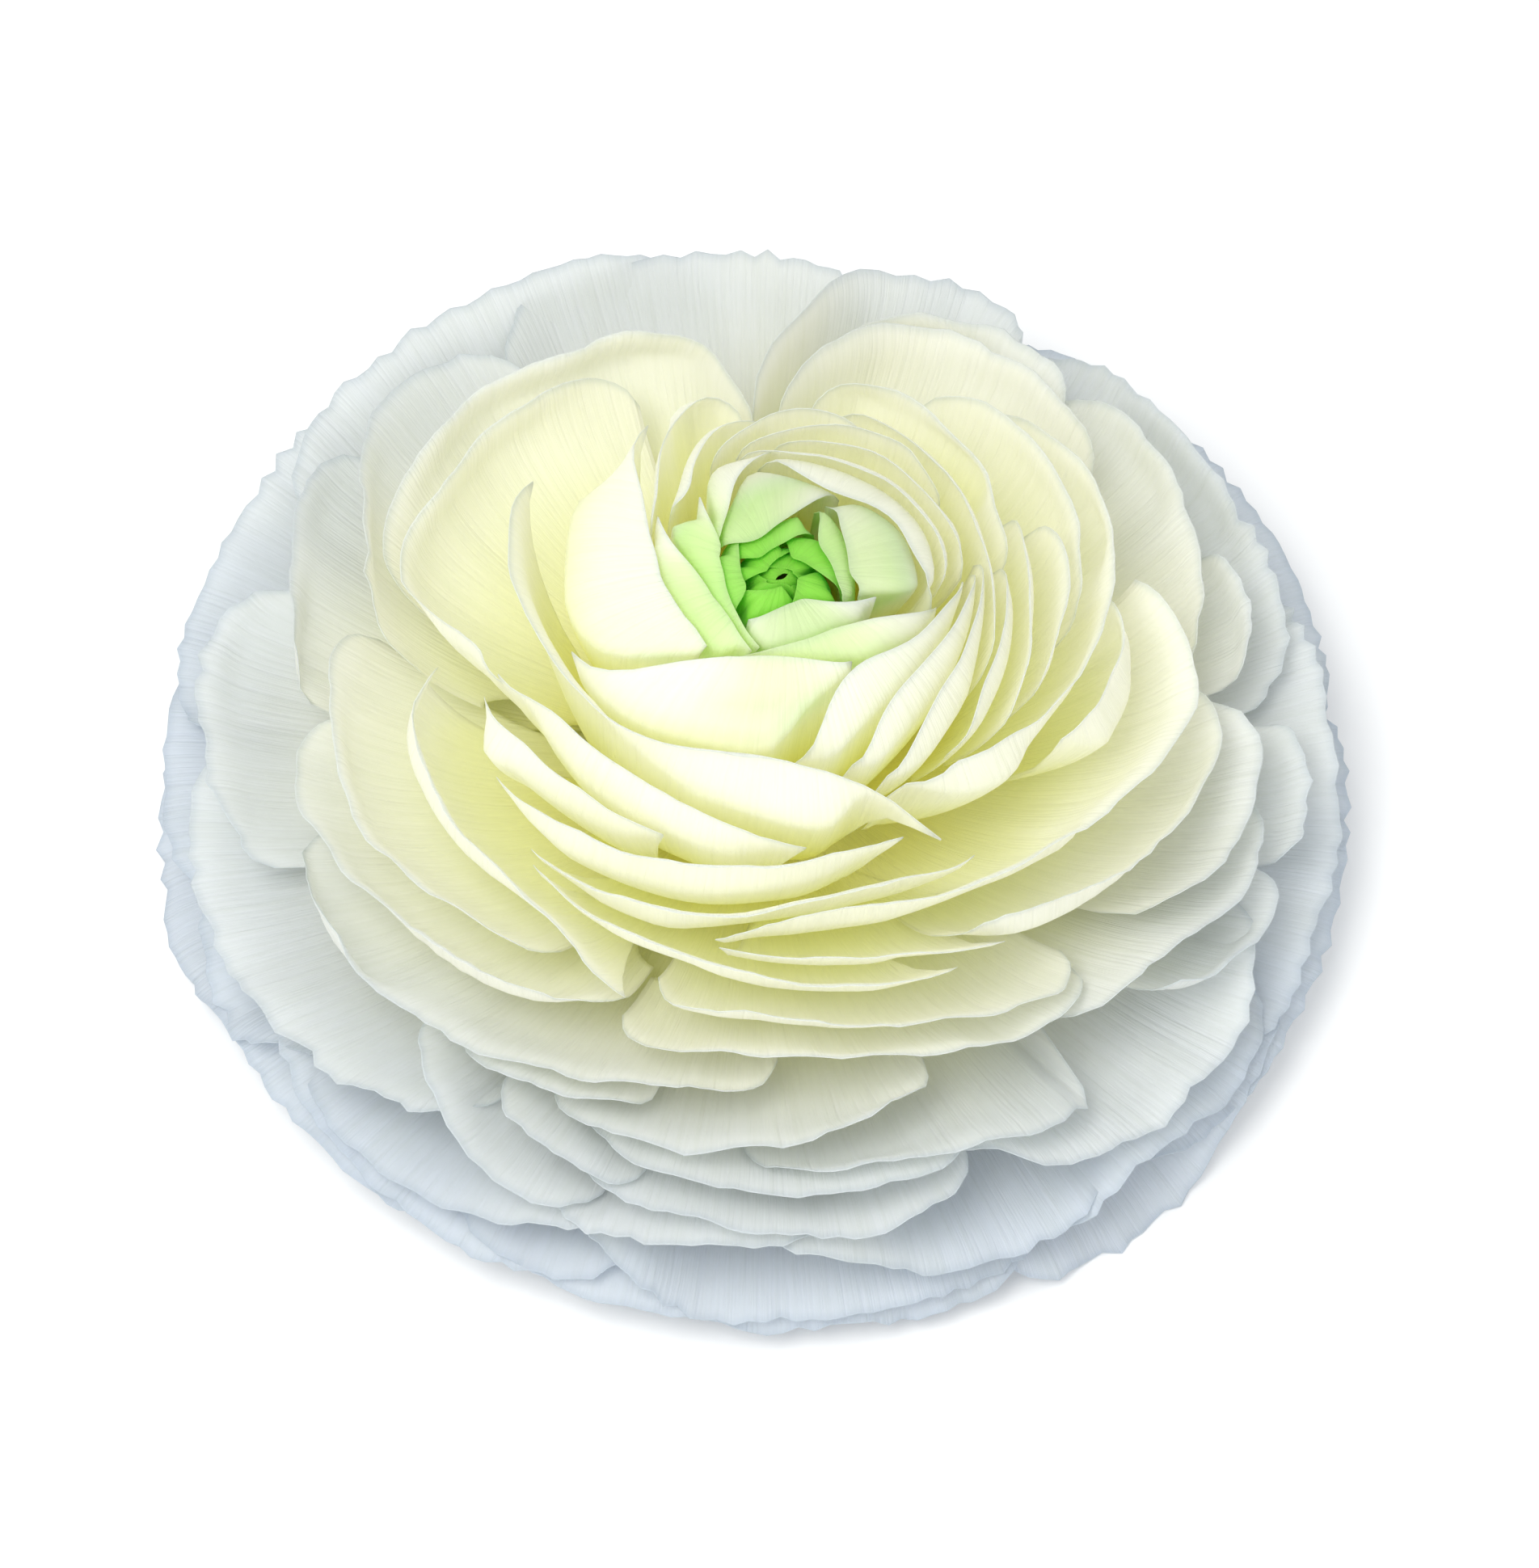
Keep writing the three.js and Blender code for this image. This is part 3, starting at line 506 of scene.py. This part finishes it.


# a petal turns from white through cream and yellow as it goes down between its neighbours: partly its own yellow
# base, partly painted yellow glow and shade of the hollows between petals; the eye petals turn a darker green
# further down
def petalTone(level, depth):
    start = np.interp(level, toneDepth["level"], toneDepth["start"])
    span = np.interp(level, toneDepth["level"], toneDepth["span"])
    warm = np.interp(level, rimWarmth["level"], rimWarmth["share"])
    # petals further out turn greyer and bluer: partly their own tone, partly painted cool shade
    pale = blendTone(toneOf("white"), toneOf("outer"), smooth((level - 38) / 16) + 0 * depth)
    pale = blendTone(pale, toneOf("hem"), smooth((level - 58) / 5) + 0 * depth)
    rim = blendTone(pale, toneOf("cream"), warm + 0 * depth)
    k = (depth - start) / span
    tone = blendTone(rim, toneOf("cream"), smooth(k * 1.1))
    tone = blendTone(tone, toneOf("yellow"), smooth((k - 0.5) / 0.9))
    tone = blendTone(tone, toneOf("deep"), smooth((k - 1.2) / 1.0))
    levels = [p[0] for p in eyeTones]
    eye = np.stack([np.interp(level, levels, [p[1][n] for p in eyeTones]) for n in range(3)], -1)
    eye = blendTone(eye, eye * np.array([0.6, 0.86, 0.35]), smooth((depth - 2.0) / 6))
    tone = blendTone(tone, eye, smooth((9.5 - level) / 3) * smooth((7 - depth) / 4))
    # painted shade: the last half mm under the rim is darkened toward the grey-blue rim colour
    shade = np.exp(-((depth / 0.5) ** 2)) * 0.8
    return blendTone(tone, tone * toneOf("paintedRimShade"), shade)


tissueLook = {
    "roughness": (0.45, 0.66),
    "specular": 0.35,
    "sheen": 0.08,
    "glowColour": (0.95, 0.93, 0.56),
    "veinScale": (2.6, 0.07, 1.0),  # veins run from claw to rim: squeezed across, stretched along
    "veinRange": (0.35, 0.7),
    "veinDepth": 0.22,
    "veinColour": (0.86, 0.88, 0.80),
    "blotchScale": 0.25,
    "blotchRange": (0.4, 0.75),
    "blotchDepth": 0.10,
    "blotchColour": (0.90, 0.90, 0.78),
    "bump": 0.5,
    "bumpHeight": 0.0004,
    "through": 0.45,  # share of the light that passes to the other face
}
# painted light: the inner and middle petals give off a faint glow of their own, standing in for light that reaches
# the imported petals through many thin layers
petalGlow = {"outerPetal": 0.0, "midPetal": 0.03, "innerPetal": 0.07, "eyePetal": 0.0}
glowLevels = (35, 46)  # where the inner and the middle petals end


def noiseNode(nodes, links, vector, scale, detail):
    noise = nodes.new("ShaderNodeTexNoise")
    noise.inputs["Scale"].default_value = scale
    noise.inputs["Detail"].default_value = detail
    links.new(vector, noise.inputs["Vector"])
    return noise.outputs["Fac"]


# darkens a colour toward another one where the noise is high
def shadeNode(nodes, links, base, noise, span, depth, colour):
    ramp = nodes.new("ShaderNodeMapRange")
    ramp.inputs["From Min"].default_value, ramp.inputs["From Max"].default_value = span
    ramp.inputs["To Max"].default_value = depth
    links.new(noise, ramp.inputs["Value"])
    shade = nodes.new("ShaderNodeMix")
    shade.data_type = "RGBA"
    shade.blend_type = "MULTIPLY"
    shade.inputs["B"].default_value = (*colour, 1)
    links.new(ramp.outputs["Result"], shade.inputs["Factor"])
    links.new(base, shade.inputs["A"])
    return shade.outputs["Result"]


def bumpNode(nodes, links, height, strength, distance):
    bump = nodes.new("ShaderNodeBump")
    bump.inputs["Strength"].default_value = strength
    bump.inputs["Distance"].default_value = distance
    links.new(height, bump.inputs["Height"])
    return bump.outputs["Normal"]


def petalMaterial(name):
    look = tissueLook
    mat = bpy.data.materials.new(name)
    mat.use_nodes = True
    nodes, links = mat.node_tree.nodes, mat.node_tree.links
    skin = nodes["Principled BSDF"]
    skin.inputs["Specular IOR Level"].default_value = look["specular"]
    skin.inputs["Sheen Weight"].default_value = look["sheen"]
    skin.inputs["Emission Color"].default_value = (*look["glowColour"], 1)
    # painted light: a constant glow by emission
    skin.inputs["Emission Strength"].default_value = petalGlow[name]
    tone = nodes.new("ShaderNodeAttribute")
    tone.attribute_name = "tone"
    place = nodes.new("ShaderNodeAttribute")
    place.attribute_name = "petalPlace"
    veinMap = nodes.new("ShaderNodeMapping")
    veinMap.inputs["Scale"].default_value = look["veinScale"]
    links.new(place.outputs["Vector"], veinMap.inputs["Vector"])
    vein = noiseNode(nodes, links, veinMap.outputs["Vector"], 1.0, 3.0)
    blotch = noiseNode(nodes, links, place.outputs["Vector"], look["blotchScale"], 4.0)
    colour = tone.outputs["Color"]
    for noise, kind in ((vein, "vein"), (blotch, "blotch")):
        span, depth, shade = (look[kind + what] for what in ("Range", "Depth", "Colour"))
        colour = shadeNode(nodes, links, colour, noise, span, depth, shade)
    links.new(colour, skin.inputs["Base Color"])
    rough = nodes.new("ShaderNodeMapRange")
    rough.inputs["To Min"].default_value, rough.inputs["To Max"].default_value = look["roughness"]
    links.new(blotch, rough.inputs["Value"])
    links.new(rough.outputs["Result"], skin.inputs["Roughness"])
    normal = bumpNode(nodes, links, vein, look["bump"], look["bumpHeight"])
    links.new(normal, skin.inputs["Normal"])
    through = nodes.new("ShaderNodeBsdfTranslucent")
    links.new(colour, through.inputs["Color"])
    links.new(normal, through.inputs["Normal"])
    tissue = nodes.new("ShaderNodeMixShader")
    tissue.inputs["Fac"].default_value = look["through"]
    links.new(skin.outputs["BSDF"], tissue.inputs[1])
    links.new(through.outputs["BSDF"], tissue.inputs[2])
    links.new(tissue.outputs["Shader"], nodes["Material Output"].inputs["Surface"])
    return mat


# copies of one petal material that differ only in how much painted glow they give off
petalSkins = {name: petalMaterial(name) for name in petalGlow}


def petalSkin(name, middle):
    if name.startswith("eye"):
        return petalSkins["eyePetal"]
    if middle < glowLevels[0]:
        return petalSkins["innerPetal"]
    return petalSkins["midPetal" if middle < glowLevels[1] else "outerPetal"]


# shares of the width over which a petal runs to a point, each with the distance from that side
def pointSides(name, across):
    first, last = pointedPetals.get(name, (0, 0))
    sides = ((first, (across + 1) / 2), (last, (1 - across) / 2))
    return [side for side in sides if side[0]]


# where each column of a petal starts and ends, as shares of the way from core to rim
def petalOutline(rng, name, across, rimMm, reach, ruffle, middle):
    scallop = waveNoise(rng, 5, 0.25, 1.3)(rimMm)
    nibble = waveNoise(rng, 5, 1.5, 3.0)(rimMm) * (1.0 + 1.6 * float(smooth((middle - 38) / 16)))
    low = petalLook["clawRise"] * smooth((np.abs(across) - petalLook["clawHalf"]) / (1 - petalLook["clawHalf"]))
    corner = 0.13 * np.abs(across) ** 4 + 0.02 * np.abs(across) ** 14
    roundness = np.interp(middle, [10, 25, 38, 50], [0.1, 0.12, 0.22, 0.38])
    if name in pointedPetals:
        corner, roundness = corner * 0.25, roundness * 0.3
    fall = 1 - np.maximum(1 - np.abs(across) ** 9, 0) ** 0.45
    corner = corner + roundness * fall * (reach - petalLook["bodyRise"] - petalLook["clawRise"])
    high = reach - corner + ruffle * (petalLook["scallop"] * scallop + petalLook["nibble"] * nibble)
    for share, gap in pointSides(name, across):
        taper = np.clip(1 - gap / share, 0, 1) ** petalLook["pointCurve"]
        low = low + (high - petalLook["pointGap"] - low) * taper
    return low, high


# level each column bulges out to, at most as far as the petals outside allow
def petalBelly(index, name, across, degrees, level, middle):
    closed = closedPetals.get(name, mostClosed * float(smooth((58 - middle) / 10)))
    if isinstance(closed, list):
        closed = np.interp(degrees, [p[0] for p in closed], [p[1] for p in closed])
    for share, gap in pointSides(name, across):
        closed = closed * smooth(gap / (share * 1.6))
    cover = coverLevel(index)
    room = np.interp(degrees % 360, np.arange(0, 361), np.append(cover, cover[0])) - petalLook["bellyGap"] - level
    return level + closed * np.clip(room, 0, petalLook["bellyMost"])


# rolled lip, ruffles and pleats, in mm along the normal
def petalRelief(rng, across, rimMm, depth, ruffle, lip, middle):
    lipShare = np.clip(1 - depth / petalLook["lipLength"], 0, 1) ** 2 * (1 - np.abs(across) ** 6)[:, None]
    relief = lip * lipShare
    for count, slow, fast, height, fade in rimWaves:
        relief = relief + waveNoise(rng, count, slow, fast)(rimMm)[:, None] * np.exp(-depth / fade) * height * ruffle
    pleats = waveNoise(rng, 7, 0.9, 2.6)(rimMm)[:, None] * np.exp(-(((depth - 4) / 9) ** 2))
    return relief + pleats * petalLook["pleat"] * float(smooth((middle - 20) / 25))


def petalThickness(across, width, depth):
    rim = head["rimThickness"]
    thickness = rim + (head["thickness"] - rim) * (1 - np.exp(-depth / petalLook["edgeThinning"]))
    side = np.minimum(1, (1 - np.abs(across)) * width / 2)[:, None]
    return rim + (thickness - rim) * side


def makePetal(index, name, node, reach, ruffle, lip, rim):
    rng = random.Random(100 + index)
    first, last = rim[0][0], rim[-1][0]
    if rimLevel(rim, np.array([(first + last) / 2]))[0] > petalLook["lowLevel"]:
        widen = petalLook["lowWiden"]
        rim = [(first - widen, rim[0][1] - 1.0), *rim, (last + widen, rim[-1][1] - 1.0)]
        first, last = rim[0][0], rim[-1][0]
    middle = rimLevel(rim, np.array([(first + last) / 2]))[0]
    radius = np.interp(middle, lineLevels, lineTable[:, 4]) + 1.5
    width = math.radians(last - first) * radius
    columns = int(min(petalLook["mostColumns"], max(petalLook["fewestColumns"], width / petalLook["columnMm"])))
    rows = petalLook["rows"]
    across = np.linspace(-1, 1, columns + 1)
    across = (1 - petalLook["sideCrowd"]) * across + petalLook["sideCrowd"] * np.sin(across * math.pi / 2)
    degrees = first + (last - first) * (across + 1) / 2
    rimMm = (across + 1) / 2 * width
    level = rimLevel(rim, degrees)
    low, high = petalOutline(rng, name, across, rimMm, reach, ruffle, middle)
    up = 1 - (1 - np.linspace(0, 1, rows + 1)) ** petalLook["rowCrowd"]
    v = low[:, None] + (high - low)[:, None] * up[None, :]
    belly = petalBelly(index, name, across, degrees, level, middle)
    hug = level[:, None] + (belly - level)[:, None] * smooth((1 - v) / petalLook["bellyBand"])
    coreLevel = lastLevel * (index + 0.5) / len(petals)
    lev = coreLevel + (hug - coreLevel) * smooth(v / petalLook["hugFrom"])
    grid = petalPoint(lev, np.repeat(degrees[:, None], rows + 1, 1), v)
    # distance from the rim along each column
    step = np.linalg.norm(np.diff(grid, axis=1), axis=-1)
    depth = np.concatenate([np.cumsum(step[:, ::-1], axis=1)[:, ::-1], np.zeros((columns + 1, 1))], axis=1)
    grid = grid + sheetNormal(grid) * petalRelief(rng, across, rimMm, depth, ruffle, lip, middle)[..., None]
    # the lowest rims rest on the surface
    rest, gap = petalLook["restFrom"], petalLook["restGap"]
    flat = gap + (rest - gap) * np.exp((grid[..., 2] - rest) / (rest - gap))
    grid[..., 2] = np.where(grid[..., 2] < rest, flat, grid[..., 2])
    tone = petalTone(np.repeat(level[:, None] + palerEye.get(name, 0), rows + 1, 1), depth)
    veinAcross = np.repeat(rimMm[:, None], rows + 1, 1) + index * 31.7
    coords = np.stack([veinAcross, -depth, 0 * depth + index * 7.3], -1)
    skin = petalSkin(name, middle)
    piece = closedSheet("bloom_" + name, grid, petalThickness(across, width, depth), tone, coords, skin)
    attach(piece, "root")
    if node:
        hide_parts(node)


for index, row in enumerate(petals):
    makePetal(index, *row)
print("petals made:", len(petals))

# the green parts under the petals
greenLook = {
    "stem_stub": {
        "colour": (0.28, 0.42, 0.12), "streak": (0.18, 0.30, 0.07),
        "stretch": (1.0, 1.0, 0.12), "scale": 2600, "roughness": 0.5,
    },
    "receptacle": {
        "colour": (0.46, 0.62, 0.22), "streak": (0.34, 0.50, 0.13),
        "stretch": (1.0, 1.0, 1.0), "scale": 900, "roughness": 0.7,
    },
    "sepal": {
        "colour": (0.26, 0.40, 0.10), "streak": (0.36, 0.50, 0.18),
        "stretch": (1.0, 1.0, 0.4), "scale": 1800, "roughness": 0.75,
    },
}


def greenMaterial(name, look):
    mat = bpy.data.materials.new(name + "Green")
    mat.use_nodes = True
    nodes, links = mat.node_tree.nodes, mat.node_tree.links
    skin = nodes["Principled BSDF"]
    skin.inputs["Roughness"].default_value = look["roughness"]
    skin.inputs["Sheen Weight"].default_value = 0.1
    place = nodes.new("ShaderNodeTexCoord")
    stretch = nodes.new("ShaderNodeMapping")
    stretch.inputs["Scale"].default_value = look["stretch"]
    links.new(place.outputs["Object"], stretch.inputs["Vector"])
    streak = noiseNode(nodes, links, stretch.outputs["Vector"], look["scale"], 4.0)
    mix = nodes.new("ShaderNodeMix")
    mix.data_type = "RGBA"
    mix.inputs["A"].default_value = (*look["colour"], 1)
    mix.inputs["B"].default_value = (*look["streak"], 1)
    links.new(streak, mix.inputs["Factor"])
    links.new(mix.outputs["Result"], skin.inputs["Base Color"])
    links.new(bumpNode(nodes, links, streak, 0.4, 0.0002), skin.inputs["Normal"])
    return mat


for kind, look in greenLook.items():
    green = greenMaterial(kind, look)
    for nodeName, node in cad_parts.items():
        if nodeName.startswith(kind):
            node.data.materials.clear()
            node.data.materials.append(green)
print("green parts painted")

stageLook = {
    "floorColour": (0.93, 0.93, 0.93),
    "floorPale": (0.95, 0.95, 0.95),
    "floorGrain": 30,
    "floorHalf": 1.6,  # m
    "skyColour": (0.97, 0.985, 1.0),
    "skyStrength": 0.9,
    "aimHeight": 0.02,
}
# soft disc lights: place, size in m, power in W and colour
lampSet = {
    "softKey": {"place": (-0.25, -0.22, 0.78), "size": 0.5, "power": 3.4, "colour": (1.0, 0.99, 0.96)},
    "softFill": {"place": (0.5, -0.5, 0.7), "size": 0.8, "power": 0.56, "colour": (0.93, 0.96, 1.0)},
    "softFront": {"place": (-0.2, -0.8, 0.3), "size": 0.6, "power": 1.6, "colour": (0.98, 1.0, 1.0)},
}


def makeFloor():
    half = stageLook["floorHalf"]
    corners = [(-half, -half, 0), (half, -half, 0), (half, half, 0), (-half, half, 0)]
    mesh = bpy.data.meshes.new("floor")
    mesh.from_pydata(corners, [], [(0, 1, 2, 3)])
    mat = bpy.data.materials.new("paleFloor")
    mat.use_nodes = True
    nodes, links = mat.node_tree.nodes, mat.node_tree.links
    skin = nodes["Principled BSDF"]
    skin.inputs["Roughness"].default_value = 0.9
    grain = nodes.new("ShaderNodeTexNoise")
    grain.inputs["Scale"].default_value = stageLook["floorGrain"]
    ramp = nodes.new("ShaderNodeMix")
    ramp.data_type = "RGBA"
    ramp.inputs["A"].default_value = (*stageLook["floorColour"], 1)
    ramp.inputs["B"].default_value = (*stageLook["floorPale"], 1)
    links.new(grain.outputs["Fac"], ramp.inputs["Factor"])
    links.new(ramp.outputs["Result"], skin.inputs["Base Color"])
    mesh.materials.append(mat)
    floor = bpy.data.objects.new("floor", mesh)
    bpy.context.collection.objects.link(floor)


def areaLight(name, place, size, power, colour):
    lamp = bpy.data.lights.new(name, "AREA")
    lamp.shape = "DISK"
    lamp.size = size
    lamp.energy = power
    lamp.color = colour
    holder = bpy.data.objects.new(name, lamp)
    holder.location = place
    aimAt = Vector((0, 0, stageLook["aimHeight"])) - Vector(place)
    holder.rotation_euler = aimAt.to_track_quat("-Z", "Y").to_euler()
    bpy.context.collection.objects.link(holder)


makeFloor()
for name, lamp in lampSet.items():
    areaLight(name, **lamp)
world = bpy.data.worlds.new("paleRoom")
world.use_nodes = True
world.node_tree.nodes["Background"].inputs["Color"].default_value = (*stageLook["skyColour"], 1)
world.node_tree.nodes["Background"].inputs["Strength"].default_value = stageLook["skyStrength"]
scene.world = world

cameraSet = {
    "elevation": 60.0,
    "distance": 0.62,
    "lens": 169.3,  # mm on a 36 mm sensor side
    "aimRight": 0.8,  # mm from the axis foot, across and up the picture
    "aimUp": 3.05,
}
tilt = math.radians(cameraSet["elevation"])
back = Vector((0, -math.cos(tilt), math.sin(tilt)))
upward = Vector((0, math.sin(tilt), math.cos(tilt)))
foot = Vector((axisX, axisY, axisZ)) * mm
aim = foot + Vector((1, 0, 0)) * cameraSet["aimRight"] * mm + upward * cameraSet["aimUp"] * mm
lens = bpy.data.cameras.new("camera")
lens.sensor_fit = "VERTICAL"
lens.sensor_height = 36
lens.lens = cameraSet["lens"]
lens.clip_start = 0.01
camera = bpy.data.objects.new("camera", lens)
camera.location = aim + back * cameraSet["distance"]
camera.rotation_euler = back.to_track_quat("Z", "Y").to_euler()
bpy.context.collection.objects.link(camera)
scene.camera = camera
print("stage, lights and camera set")
